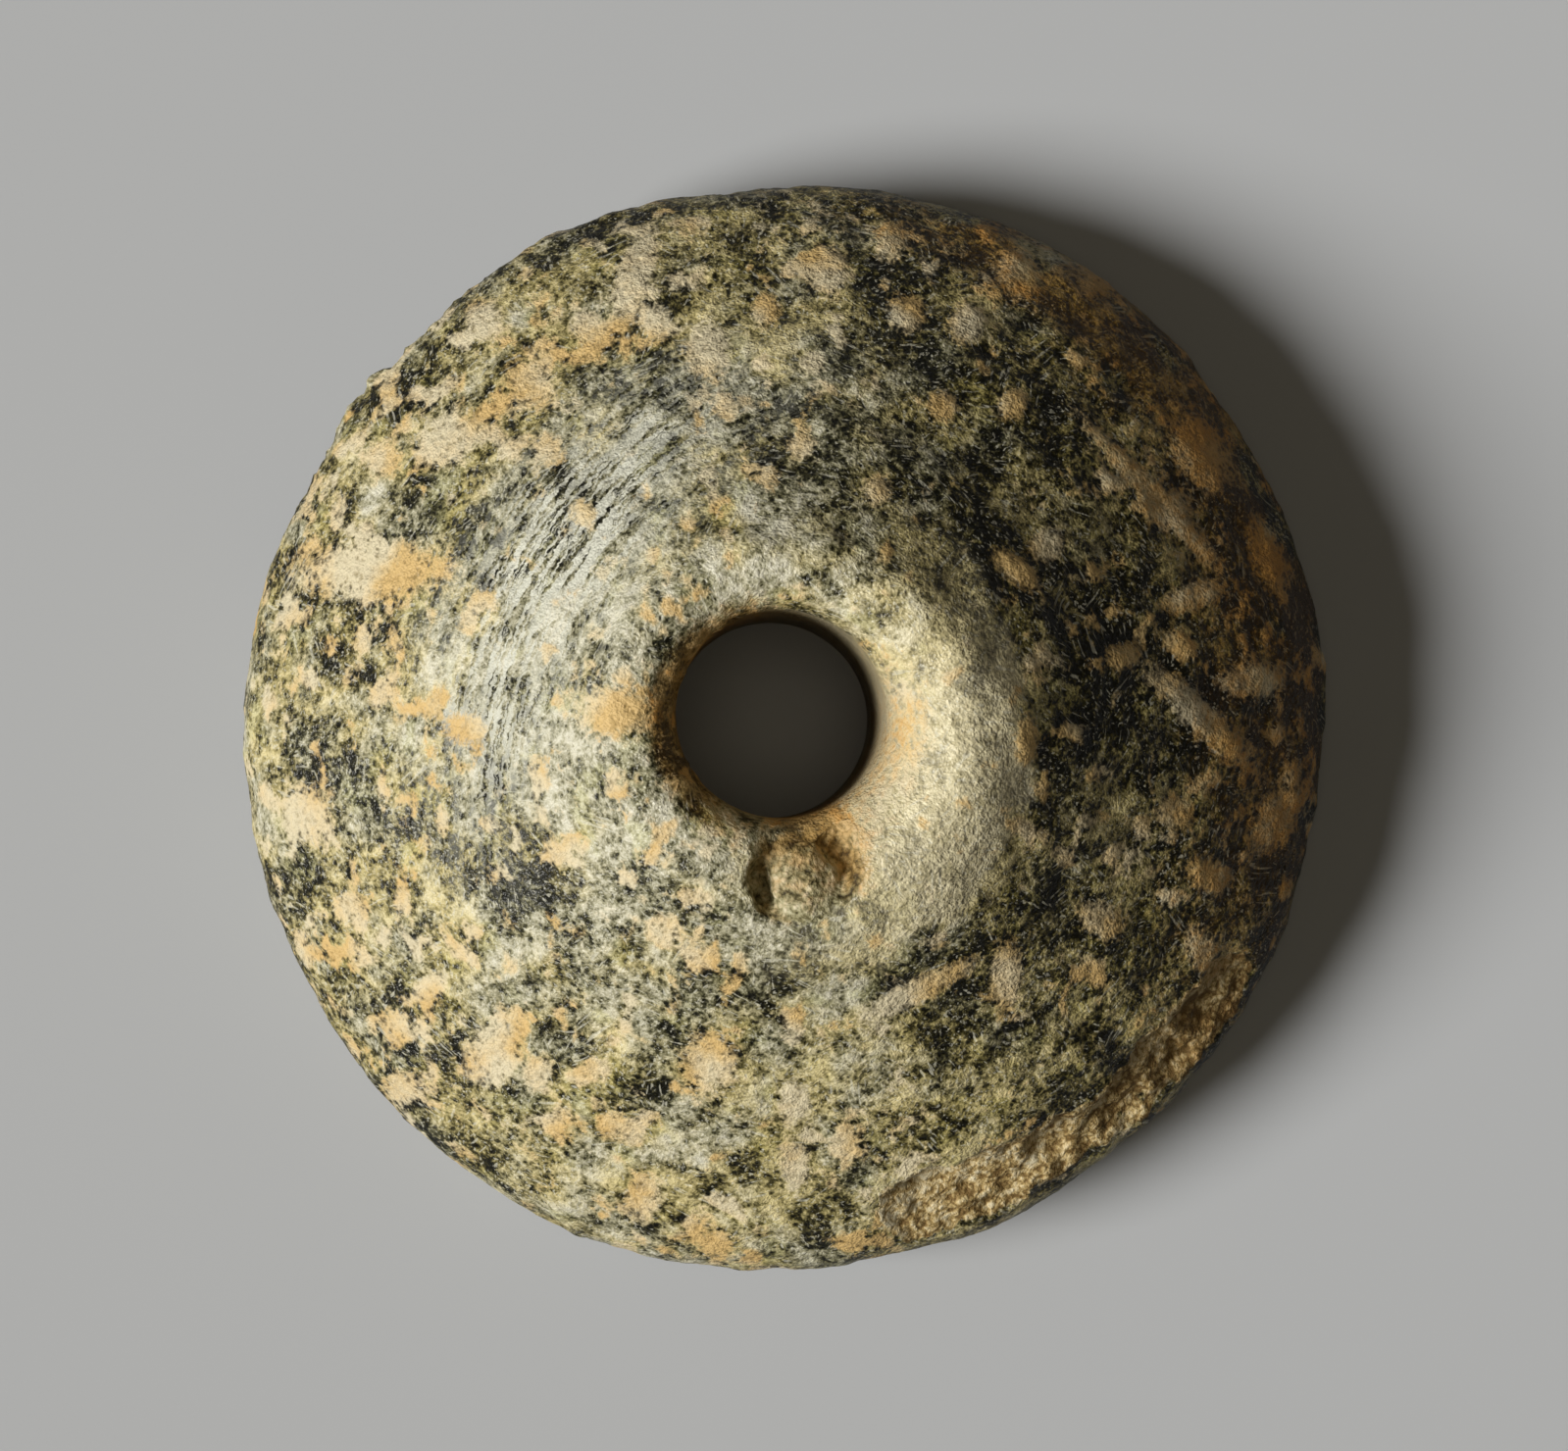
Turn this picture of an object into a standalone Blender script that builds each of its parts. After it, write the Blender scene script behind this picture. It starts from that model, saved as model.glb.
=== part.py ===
"""Stone spindle whorl: a low domed disc of mottled green stone with a bore for the spindle.

Metres, +Z up. The origin is the middle of the flat underside, which the whorl stands on. Its
largest break faces -Y. The body is turned from one profile, then moved off true as a hand-cut
and worn stone is, and its breaks and chips are cut out of it.
"""

import math

import bmesh
import bpy
from mathutils import Euler, Vector, noise

# The whorl's own sizes.
DIAMETER = 0.040
HEIGHT = 0.0173
BORE_RADIUS = 0.00365

RADIUS = DIAMETER / 2

# Heights and radii of the turned profile.
REST_RADIUS = 0.90 * RADIUS  # outer edge of the flat underside
WIDEST_Z = 0.205 * RADIUS  # height where the edge is widest
CONE_TOP_RADIUS = 0.375 * RADIUS  # where the cone meets the rounded shoulder
CONE_TOP_Z = 0.800 * RADIUS
CONE_SLOPE = math.radians(37.0)  # slope of the cone just below the shoulder
CREST_RADIUS = 0.26 * RADIUS  # highest ring, round the mouth of the bore
EDGE_FULLNESS = 0.100 * RADIUS  # how far the edge stays upright above its widest height
CONE_FULLNESS = 0.620 * RADIUS  # how far the cone runs straight below the shoulder
TOP_MOUTH_ROUND = 0.055 * RADIUS
BASE_MOUTH_ROUND = 0.020 * RADIUS

# The bore was drilled a little off the middle, and leans.
BORE_AT_BASE = Vector((0.006, -0.029)) * RADIUS
BORE_AT_TOP = Vector((-0.017, -0.014)) * RADIUS

# The plan is a slight oval with rubbed flats: (direction in degrees, half-width in degrees, depth).
OVAL = 0.006
FLATS = (
    (28, 16, 0.008 * RADIUS),
    (90, 30, 0.004 * RADIUS),
    (212, 8, 0.012 * RADIUS),
    (300, 9, 0.010 * RADIUS),
)

# Wear round the top mouth: a shallow dish inside the crest, and a deeper, wider one towards +Y.
DISH_DEPTH = 0.018 * RADIUS
WORN_SIDE = math.radians(93)
WORN_SIDE_HALF_WIDTH = math.radians(62)
WORN_SIDE_RADIUS = 0.40 * RADIUS
WORN_SIDE_DEPTH = 0.070 * RADIUS
WORN_SIDE_LIP = 0.028 * RADIUS  # how far its outer border stands above the cone
WORN_SIDE_LIP_WIDTH = 0.30 * WORN_SIDE_RADIUS
WEAR_FROM_Z = 0.45 * HEIGHT
WEAR_FULL_Z = 0.80 * HEIGHT

# Unevenness of a surface ground by hand, which leaves the underside flat.
UNEVEN_SIZE = 0.45 * RADIUS
UNEVEN_DEPTH = 0.008 * RADIUS
UNEVEN_FULL_Z = 0.25 * HEIGHT

# Bumps on broken stone.
LUMP_SIZE = 0.09 * RADIUS
LUMP_FADE = 0.6  # how much weaker each finer layer of bumps is
LUMP_FINER = 2.0  # how much smaller each finer layer is
LUMP_LAYERS = 4

# The crumbled strip along the top of the edge, a row of shallow scoops: directions in degrees.
STRIP_START = 46
STRIP_END = 86
STRIP_SCOOPS = 6
STRIP_START_PLACE = (0.944 * RADIUS, 0.385 * RADIUS)  # distance from the axis, and height
STRIP_END_PLACE = (0.974 * RADIUS, 0.351 * RADIUS)

SHARP_ANGLE = math.radians(35)  # faces that meet at more than this are shaded apart
TURNS = 96  # facets round the whorl

# Points along each curve of the profile, in the order they are laid.
BASE_STEPS = 4
EDGE_STEPS = 9
CONE_STEPS = 12
SHOULDER_STEPS = 6
MOUTH_STEPS = 4
BORE_STEPS = 5
BASE_MOUTH_STEPS = 2


def clear_scene():
    for obj in list(bpy.data.objects):
        bpy.data.objects.remove(obj)


def stone_material():
    material = bpy.data.materials.new("green_stone")
    material.use_nodes = True
    shader = material.node_tree.nodes["Principled BSDF"]
    shader.inputs["Base Color"].default_value = (0.17, 0.17, 0.13, 1.0)
    shader.inputs["Roughness"].default_value = 0.55
    shader.inputs["Metallic"].default_value = 0.0
    return material


def smooth_step(low, high, value):
    share = min(max((value - low) / (high - low), 0.0), 1.0)
    return share * share * (3.0 - 2.0 * share)


def bump_round(angle, middle, half_width):
    """1 in the middle direction, falling away to 0 on both sides of it; angles in radians."""
    off = math.remainder(angle - middle, 2.0 * math.pi)
    return math.exp(-((off / half_width) ** 2))


def bezier(start, start_handle, end_handle, end, steps):
    """Points of a cubic curve, the first one left out."""
    points = []
    for step in range(1, steps + 1):
        t = step / steps
        a = (1 - t) ** 3
        b = 3 * t * (1 - t) ** 2
        c = 3 * t * t * (1 - t)
        d = t**3
        points.append(a * start + b * start_handle + c * end_handle + d * end)
    return points


def quarter_round(centre, radius_r, radius_z, start_degrees, end_degrees, steps):
    """Points of an elliptical arc about centre, in the (r, z) plane, the first one left out."""
    points = []
    for step in range(1, steps + 1):
        angle = math.radians(start_degrees + (end_degrees - start_degrees) * step / steps)
        points.append(centre + Vector((radius_r * math.cos(angle), radius_z * math.sin(angle))))
    return points


def straight(start, end, steps):
    """Points of a straight line, the first one left out."""
    return [start.lerp(end, step / steps) for step in range(1, steps + 1)]


def profile():
    """The closed section of the ring in (r, z), from the base's mouth outwards and over the top."""
    base_mouth = Vector((BORE_RADIUS + BASE_MOUTH_ROUND, 0.0))
    rest_edge = Vector((REST_RADIUS, 0.0))
    widest = Vector((RADIUS, WIDEST_Z))
    cone_top = Vector((CONE_TOP_RADIUS, CONE_TOP_Z))
    crest = Vector((CREST_RADIUS, HEIGHT))
    top_mouth = Vector((BORE_RADIUS + TOP_MOUTH_ROUND, HEIGHT))
    down_cone = Vector((math.cos(CONE_SLOPE), -math.sin(CONE_SLOPE)))
    shoulder = (crest - cone_top).length / 2

    points = [base_mouth]
    points += straight(base_mouth, rest_edge, BASE_STEPS)
    under_edge = Vector((REST_RADIUS, WIDEST_Z))
    points += quarter_round(under_edge, RADIUS - REST_RADIUS, WIDEST_Z, -90, 0, EDGE_STEPS)
    points += bezier(
        widest,
        widest + Vector((0.0, EDGE_FULLNESS)),
        cone_top + down_cone * CONE_FULLNESS,
        cone_top,
        CONE_STEPS,
    )
    points += bezier(
        cone_top,
        cone_top - down_cone * shoulder,
        crest + Vector((shoulder, 0.0)),
        crest,
        SHOULDER_STEPS,
    )
    points += straight(crest, top_mouth, 1)
    mouth_centre = top_mouth - Vector((0.0, TOP_MOUTH_ROUND))
    points += quarter_round(mouth_centre, TOP_MOUTH_ROUND, TOP_MOUTH_ROUND, 90, 180, MOUTH_STEPS)
    base_bore = Vector((BORE_RADIUS, BASE_MOUTH_ROUND))
    points += straight(points[-1], base_bore, BORE_STEPS)
    base_centre = base_mouth + Vector((0.0, BASE_MOUTH_ROUND))
    points += quarter_round(base_centre, BASE_MOUTH_ROUND, BASE_MOUTH_ROUND, 180, 270, BASE_MOUTH_STEPS)
    return points[:-1]


def outline(angle):
    """The plan's radius in this direction, as a share of RADIUS."""
    share = 1.0 + OVAL * math.cos(2.0 * angle)
    for direction, half_width, depth in FLATS:
        share -= depth / RADIUS * bump_round(angle, math.radians(direction), math.radians(half_width))
    return share


def hand_cut(point):
    """Where a point of the true turned ring lies on the hand-cut and worn stone."""
    angle = math.atan2(point.y, point.x)
    r = math.hypot(point.x, point.y)
    z = point.z
    outer = smooth_step(CREST_RADIUS, RADIUS, r)
    inner = 1.0 - smooth_step(BORE_RADIUS, WORN_SIDE_RADIUS, r)

    r *= 1.0 + (outline(angle) - 1.0) * outer
    near_top = smooth_step(WEAR_FROM_Z, WEAR_FULL_Z, z)
    worn_side = bump_round(angle, WORN_SIDE, WORN_SIDE_HALF_WIDTH)
    dish = DISH_DEPTH * (1.0 - smooth_step(BORE_RADIUS, CREST_RADIUS, r))
    worn_dish = WORN_SIDE_DEPTH * worn_side * inner
    lip = WORN_SIDE_LIP * worn_side * math.exp(-(((r - WORN_SIDE_RADIUS) / WORN_SIDE_LIP_WIDTH) ** 2))
    z += near_top * (lip - dish - worn_dish)

    bore = BORE_AT_BASE.lerp(BORE_AT_TOP, point.z / HEIGHT)
    x = r * math.cos(angle) + bore.x * inner
    y = r * math.sin(angle) + bore.y * inner

    clear_of_base = smooth_step(0.0, UNEVEN_FULL_Z, z) * outer
    push = UNEVEN_DEPTH * clear_of_base * noise.noise(point / UNEVEN_SIZE)
    return Vector((x, y, z)) + Vector((math.cos(angle), math.sin(angle), 1.0)) * push


def turned_body(material):
    """The ring: its section spun round Z, then cut by hand."""
    bm = bmesh.new()
    section = [bm.verts.new((p.x, 0.0, p.y)) for p in profile()]
    edges = [bm.edges.new((a, b)) for a, b in zip(section, section[1:] + section[:1])]
    bmesh.ops.spin(
        bm,
        geom=section + edges,
        cent=(0.0, 0.0, 0.0),
        axis=(0.0, 0.0, 1.0),
        angle=2.0 * math.pi,
        steps=TURNS,
        use_merge=True,
    )
    for vert in bm.verts:
        vert.co = hand_cut(vert.co)
    bmesh.ops.recalc_face_normals(bm, faces=bm.faces)
    return new_object("whorl", bm, material, bpy.context.scene.collection)


def new_object(name, bm, material, collection):
    mesh = bpy.data.meshes.new(name)
    bm.to_mesh(mesh)
    bm.free()
    mesh.shade_smooth()
    mesh.set_sharp_from_angle(angle=SHARP_ANGLE)
    obj = bpy.data.objects.new(name, mesh)
    collection.objects.link(obj)
    if material:
        mesh.materials.append(material)
    return obj


def on_whorl(direction_degrees, r, z):
    """A place given by its direction round the whorl, its distance from the axis and its height."""
    angle = math.radians(direction_degrees)
    return Vector((r * math.cos(angle), r * math.sin(angle), z))


def break_cutter(name, breaks, place, half_size, turn, roundness, roughness, detail):
    """Puts a rough lump in breaks, in the shape of what is gone: from a box (roundness 0) to a ball (1).

    With no turn the lump's own X points away from the axis, its Y round the whorl and its Z up.
    The turn is in degrees, about those three.
    """
    bm = bmesh.new()
    bmesh.ops.create_cube(bm, size=2.0)
    bmesh.ops.subdivide_edges(bm, edges=bm.edges, cuts=detail, use_grid_fill=True)
    away = math.degrees(math.atan2(place.y, place.x))
    rotation = Euler([math.radians(a) for a in (turn[0], turn[1], turn[2] + away)]).to_matrix()
    for vert in bm.verts:
        shape = vert.co.lerp(vert.co.normalized(), roundness)
        local = Vector([c * half for c, half in zip(shape, half_size)])
        lumpy = noise.fractal((place + local) / LUMP_SIZE, LUMP_FADE, LUMP_FINER, LUMP_LAYERS)
        local *= 1.0 + roughness * lumpy
        vert.co = place + rotation @ local
    cutter = new_object(name, bm, None, breaks)
    cutter.hide_render = True
    cutter.display_type = "WIRE"


def cut_main_break(breaks):
    """The large break at the front: a sloping facet under the edge, and a deeper hollow beside it."""
    break_cutter(
        "cut_break_facet", breaks,
        place=on_whorl(256, 0.965 * RADIUS, -0.035 * RADIUS),
        half_size=Vector((0.38, 0.52, 0.24)) * RADIUS,
        turn=(0, -41, 0), roundness=0.75, roughness=0.07, detail=11,
    )
    break_cutter(
        "cut_break_hollow", breaks,
        place=on_whorl(271, 0.935 * RADIUS, -0.010 * RADIUS),
        half_size=Vector((0.185, 0.150, 0.225)) * RADIUS,
        turn=(-20, -41, 0), roundness=1.0, roughness=0.20, detail=8,
    )


def cut_edge_chips(breaks):
    """A crumbled strip along the top of the edge, and single chips off the edge's underside."""
    for number in range(STRIP_SCOOPS):
        share = number / (STRIP_SCOOPS - 1)
        direction = STRIP_START + (STRIP_END - STRIP_START) * share
        r, z = Vector(STRIP_START_PLACE).lerp(Vector(STRIP_END_PLACE), share)
        break_cutter(
            f"cut_edge_strip_{number}", breaks,
            place=on_whorl(direction, r, z),
            half_size=Vector((0.105, 0.105, 0.070)) * RADIUS,
            turn=(0, 38, 0), roundness=0.7, roughness=0.16, detail=5,
        )
    break_cutter(
        "cut_edge_pale_chip", breaks,
        place=on_whorl(35, 1.00 * RADIUS, 0.02 * RADIUS),
        half_size=Vector((0.14, 0.15, 0.07)) * RADIUS,
        turn=(0, -40, 0), roundness=0.8, roughness=0.12, detail=5,
    )
    break_cutter(
        "cut_edge_brown_chip", breaks,
        place=on_whorl(175, 1.02 * RADIUS, 0.03 * RADIUS),
        half_size=Vector((0.11, 0.08, 0.07)) * RADIUS,
        turn=(0, -45, 0), roundness=0.8, roughness=0.12, detail=5,
    )


def cut_collar_chip(breaks):
    """The chip out of the mouth of the bore: a shallow scar, with a deeper pit on each side of it."""
    break_cutter(
        "cut_collar_scar", breaks,
        place=on_whorl(36, 0.262 * RADIUS, 0.885 * RADIUS),
        half_size=Vector((0.100, 0.105, 0.080)) * RADIUS,
        turn=(0, 12, 12), roundness=0.9, roughness=0.16, detail=6,
    )
    break_cutter(
        "cut_collar_pit", breaks,
        place=on_whorl(23, 0.275 * RADIUS, 0.865 * RADIUS),
        half_size=Vector((0.060, 0.034, 0.085)) * RADIUS,
        turn=(0, 0, 15), roundness=1.0, roughness=0.16, detail=4,
    )
    break_cutter(
        "cut_collar_valley", breaks,
        place=on_whorl(51, 0.245 * RADIUS, 0.850 * RADIUS),
        half_size=Vector((0.080, 0.036, 0.070)) * RADIUS,
        turn=(0, 0, -25), roundness=1.0, roughness=0.16, detail=4,
    )


def cut_breaks(body):
    """Takes everything that has broken off out of the body in one cut."""
    breaks = bpy.data.collections.new("breaks")
    bpy.context.scene.collection.children.link(breaks)
    cut_main_break(breaks)
    cut_edge_chips(breaks)
    cut_collar_chip(breaks)
    cut = body.modifiers.new("breaks", "BOOLEAN")
    cut.operation = "DIFFERENCE"
    cut.solver = "EXACT"
    cut.operand_type = "COLLECTION"
    cut.collection = breaks


clear_scene()
cut_breaks(turned_body(stone_material()))
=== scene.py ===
"""A stone spindle whorl lying on a pale table, looked at from straight above its bore.

Metres, +Z up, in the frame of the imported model. The whorl's front, with its largest break, is -Y.
"""

import math

import bmesh
import bpy
import numpy as np
from mathutils import Euler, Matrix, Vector, noise


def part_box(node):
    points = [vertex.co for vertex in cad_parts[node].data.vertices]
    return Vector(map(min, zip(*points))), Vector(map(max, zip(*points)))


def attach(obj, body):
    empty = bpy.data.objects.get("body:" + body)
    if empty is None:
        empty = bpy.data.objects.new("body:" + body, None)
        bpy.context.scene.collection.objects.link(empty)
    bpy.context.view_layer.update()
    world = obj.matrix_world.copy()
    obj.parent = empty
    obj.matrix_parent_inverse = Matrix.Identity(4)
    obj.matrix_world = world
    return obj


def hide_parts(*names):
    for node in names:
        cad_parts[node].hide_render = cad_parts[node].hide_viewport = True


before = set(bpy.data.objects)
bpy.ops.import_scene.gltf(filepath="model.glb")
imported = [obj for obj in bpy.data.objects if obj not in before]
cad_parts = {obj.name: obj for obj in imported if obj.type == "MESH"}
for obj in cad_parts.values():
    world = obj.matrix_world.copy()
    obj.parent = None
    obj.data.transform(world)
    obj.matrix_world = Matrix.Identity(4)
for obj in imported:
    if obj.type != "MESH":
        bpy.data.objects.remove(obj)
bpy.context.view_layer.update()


# ---- The whorl's surface ----
# One piece of dark green, matted stone, ground by hand to a low cone. Its surface is here an even
# mesh of small squares laid over the CAD solid, so that wear, grain and breaks can be worked in it.

MM = 0.001
RADIUS = 20.0 * MM
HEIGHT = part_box("whorl")[1].z
CELL = 0.232 * MM  # the side of one square
SAME_PLACE = 0.001 * MM


def surface_mesh(node, cell):
    """An object with the node's surface as an even mesh of squares, one cell wide."""
    bm = bmesh.new()
    bm.from_mesh(node.data)
    bmesh.ops.remove_doubles(bm, verts=bm.verts, dist=SAME_PLACE)
    mesh = bpy.data.meshes.new("whorl_blank")
    bm.to_mesh(mesh)
    bm.free()
    blank = bpy.data.objects.new("whorl_blank", mesh)
    bpy.context.scene.collection.objects.link(blank)
    squares = blank.modifiers.new("squares", "REMESH")
    squares.mode = "VOXEL"
    squares.voxel_size = cell
    depsgraph = bpy.context.evaluated_depsgraph_get()
    even = bpy.data.meshes.new_from_object(blank.evaluated_get(depsgraph))
    bpy.data.objects.remove(blank)
    even.name = "stone_whorl"
    stone = bpy.data.objects.new("stone_whorl", even)
    bpy.context.scene.collection.objects.link(stone)
    return stone


def vertex_places(mesh):
    flat = np.empty(len(mesh.vertices) * 3)
    mesh.vertices.foreach_get("co", flat)
    return flat.reshape(-1, 3)


def smooth_step(low, high, value):
    share = np.clip((value - low) / (high - low), 0.0, 1.0)
    return share * share * (3.0 - 2.0 * share)


stone = surface_mesh(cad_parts["whorl"], CELL)
places = vertex_places(stone.data)
direction = np.degrees(np.arctan2(places[:, 1], places[:, 0])) % 360.0
reach = np.hypot(places[:, 0], places[:, 1]) / RADIUS
height = places[:, 2]

# How far each place belongs to the upper side, to the underside and to the wall of the bore, 0 to 1.
upper = smooth_step(3.0 * MM, 5.0 * MM, height)
underside = smooth_step(1.2 * MM, 0.4 * MM, height)
in_bore = smooth_step(0.235, 0.20, reach)
in_bore *= smooth_step(0.0, 0.6 * MM, height)
in_bore *= smooth_step(HEIGHT - 1.2 * MM, HEIGHT - 2.8 * MM, height)


# ---- Breaks and chips ----
# Stone lost from the edge and the mouth of the bore. The fresh stone in them is pale and granular.
# Each row is the lump that was cut out of the body: where it is (direction round the whorl in degrees,
# distance from the axis and height in radii), its half-sizes in radii, its turn, roundness, roughness.

BREAK_LUMP = 0.09 * RADIUS
BREAKS = {
    "facet": ((256, 0.965, -0.035), (0.38, 0.52, 0.24), (0, -41, 0), 0.75, 0.07),
    "hollow": ((271, 0.935, -0.010), (0.185, 0.150, 0.225), (-20, -41, 0), 1.0, 0.20),
    "pale_chip": ((35, 1.00, 0.02), (0.14, 0.15, 0.07), (0, -40, 0), 0.8, 0.12),
    "brown_chip": ((175, 1.02, 0.03), (0.11, 0.08, 0.07), (0, -45, 0), 0.8, 0.12),
    "collar_scar": ((36, 0.262, 0.885), (0.100, 0.105, 0.080), (0, 12, 12), 0.9, 0.16),
    "collar_pit": ((23, 0.275, 0.865), (0.060, 0.034, 0.085), (0, 0, 15), 1.0, 0.16),
    "collar_valley": ((51, 0.245, 0.850), (0.080, 0.036, 0.070), (0, 0, -25), 1.0, 0.16),
}
STRIP_SCOOPS = 6
STRIP_START = (46, 0.944, 0.385)
STRIP_END = (86, 0.974, 0.351)
for scoop in range(STRIP_SCOOPS):
    share = scoop / (STRIP_SCOOPS - 1)
    place = [start + (end - start) * share for start, end in zip(STRIP_START, STRIP_END)]
    BREAKS[f"strip_{scoop}"] = (place, (0.105, 0.105, 0.070), (0, 38, 0), 0.7, 0.16)


def hump(value, middle, half_width):
    """1 at the middle, falling away smoothly to both sides."""
    return np.exp(-(((value - middle) / half_width) ** 2))


def sector(direction, middle, half_width):
    """A hump in the direction round the whorl; all in degrees."""
    off = (direction - middle + 180.0) % 360.0 - 180.0
    return np.exp(-((off / half_width) ** 2))


def on_whorl(direction_degrees, r, z):
    """A place given by its direction round the whorl, and its distance and height in radii."""
    angle = math.radians(direction_degrees)
    return Vector((r * math.cos(angle), r * math.sin(angle), z)) * RADIUS


def broken_by(places, spot, half_size, turn, roundness, roughness):
    """1 where the surface was left by this break, 0 on the old surface round it."""
    middle = on_whorl(*spot)
    rotation = Euler([math.radians(a) for a in (turn[0], turn[1], turn[2] + spot[0])]).to_matrix()
    half = np.array(half_size) * RADIUS
    local = (places - np.array(middle)) @ np.array(rotation)
    away = np.linalg.norm(local / half, axis=1)
    mask = np.zeros(len(places))
    for index in np.flatnonzero(away < 2.0):
        ray = local[index] / half
        corner = ray / np.abs(ray).max()
        shape = corner * (1.0 - roundness + roundness / np.linalg.norm(corner))
        lumpy = noise.fractal((middle + Vector(shape * half)) / BREAK_LUMP, 0.6, 2.0, 4)
        edge = np.linalg.norm(shape) * (1.0 + roughness * lumpy)
        mask[index] = 1.0 - smooth_step(1.02, 1.09, away[index] / edge)
    return mask


def move_vertices(mesh, places):
    mesh.vertices.foreach_set("co", places.ravel())
    mesh.update()


def vertex_normals(mesh):
    flat = np.empty(len(mesh.vertices) * 3, np.float32)
    mesh.vertex_normals.foreach_get("vector", flat)
    return flat.reshape(-1, 3).astype(float)


def mesh_edges(mesh):
    flat = np.empty(len(mesh.edges) * 2, np.int32)
    mesh.edges.foreach_get("vertices", flat)
    return flat.reshape(-1, 2)


def neighbour_mean(values, edges):
    """For each vertex, the mean of its neighbours' values."""
    total = np.zeros_like(values)
    for near, far in ((0, 1), (1, 0)):
        for column in range(values.shape[1]):
            total[:, column] += np.bincount(
                edges[:, near], weights=values[edges[:, far], column], minlength=len(values)
            )
    return total / np.bincount(edges.ravel(), minlength=len(values))[:, None]


lost = {name: broken_by(places, *row) for name, row in BREAKS.items()}
strip = np.max([mask for name, mask in lost.items() if name.startswith("strip")], axis=0)
broken = np.max(list(lost.values()), axis=0)

# In the scar at the mouth of the bore a lump is left, with a groove on all but one side. The groove,
# a valley at the lump's left and the scar between the lump and the bore are painted brown as shadow.
scar_middle = on_whorl(36, 0.272, 0.0)
off_lump = places - np.array(scar_middle)
from_lump = np.hypot(off_lump[:, 0], off_lump[:, 1])
round_lump = np.degrees(np.arctan2(off_lump[:, 1], off_lump[:, 0]))
scar_lump = upper * smooth_step(1.40 * MM, 0.90 * MM, from_lump)
scar_groove_and_shade = upper * hump(from_lump, 1.55 * MM, 0.40 * MM) * (1.0 - sector(round_lump, 51, 60))
scar_groove_and_shade *= 1.0 - 0.55 * sector(round_lump, 302, 50)
scar_valley_shadow = upper * hump(from_lump, 1.8 * MM, 0.8 * MM) * sector(round_lump, 141, 45)
scar_painted_shadow = upper * hump(from_lump, 2.2 * MM, 1.0 * MM) * sector(round_lump, 195, 55)
broken = np.maximum(broken, scar_lump)
worked = 1.0 - broken

# The old surface is smoothed all over, but for the lip of the bore, and the broken stone only a little,
# but for its rubbed border. The walls of the hollow have crumbled to gentle slopes.
rubbed = np.maximum(worked, smooth_step(0.93, 0.97, reach))
rubbed *= 1.0 - 0.7 * upper * hump(reach, 0.20, 0.05)
crumbled = sector(direction, 271, 13) * hump(reach, 0.86, 0.16) * smooth_step(8.0 * MM, 6.0 * MM, height)
off_table = smooth_step(0.0, 0.12 * MM, height)
edges = mesh_edges(stone.data)
for share, steps in ((0.12 + 0.38 * rubbed, 24), (0.5 * crumbled, 60)):
    share *= off_table
    for _ in range(steps):
        places += share[:, None] * (neighbour_mean(places, edges) - places)
move_vertices(stone.data, places)
normals = vertex_normals(stone.data)
stone.data.shade_smooth()


# ---- Pale mineral ----
# Cream to tan grains are scattered through the stone: large ones that stand out, and small ones
# that run together in streaks down the cone. Each row: direction, distance from the axis in radii,
# width in millimetres, length as a multiple of the width, and its lean from the radius in degrees.

PATCHES_ABOVE = (
    (278, 0.79, 1.9, 2.9, 20), (258, 0.79, 1.8, 1.3, 60), (245, 0.76, 1.5, 1.3, 0),
    (245, 0.91, 1.3, 1.3, 0), (265, 0.87, 1.2, 1.2, 0), (249, 0.64, 1.0, 1.2, 0),
    (227, 0.85, 1.2, 3.2, -35), (203, 0.82, 1.3, 1.3, 0), (204, 0.64, 0.8, 1.0, 0),
    (181, 0.92, 1.5, 1.3, 40), (309, 0.88, 1.9, 1.0, 0), (321, 0.85, 0.9, 1.4, 0),
    (299, 0.56, 1.0, 1.6, 0), (294, 0.29, 1.7, 1.5, 0), (335, 0.79, 0.9, 1.6, 0),
    (347, 0.78, 1.9, 1.2, 0), (353, 0.76, 1.0, 1.2, 0), (342, 0.96, 1.2, 1.2, 0), (5, 0.78, 0.9, 1.2, 0),
    (16, 0.61, 1.8, 1.2, 0), (12, 0.89, 1.2, 1.5, 0), (21, 0.95, 1.2, 1.0, 0), (30, 0.67, 1.1, 1.4, 0),
    (30, 0.79, 1.0, 1.8, 0), (37, 0.75, 0.7, 2.2, 0), (55, 0.52, 0.8, 5.5, 90), (70, 0.59, 1.0, 2.4, -41),
    (87, 0.66, 1.1, 1.5, 0), (99, 0.81, 1.2, 1.4, 0), (106, 0.71, 1.1, 1.2, 0), (130, 0.61, 0.8, 1.6, 0),
    (124, 0.85, 1.2, 2.0, 0), (136, 0.77, 0.9, 2.6, 0), (148, 0.79, 1.0, 1.8, 0),
    (153, 0.56, 1.0, 1.2, 0), (182, 0.63, 1.0, 1.0, 0), (187, 0.44, 0.9, 1.1, 0),
    (205, 0.49, 0.9, 1.0, 0), (219, 0.57, 0.8, 1.3, 0), (115, 0.42, 0.8, 2.0, 90),
    (150, 0.78, 0.8, 9.0, -78), (119, 0.75, 1.1, 5.0, -44), (152, 0.49, 0.8, 2.2, -74),
    (152, 0.90, 1.8, 1.6, 80), (138, 0.93, 1.2, 2.2, 90), (130, 0.72, 0.8, 1.6, -50),
    (108, 0.91, 1.4, 2.0, 60), (90, 0.86, 1.0, 1.8, -40), (192, 0.77, 1.2, 1.1, 0),
    (184, 0.79, 1.2, 1.2, 0), (220, 0.68, 1.5, 1.3, 0), (226, 0.75, 1.0, 1.3, 0),
    (235, 0.80, 1.0, 1.2, 0), (211, 0.74, 0.9, 1.4, 0), (173, 0.70, 0.9, 1.3, 0),
    (196, 0.90, 1.1, 1.3, 0),
)
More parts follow.
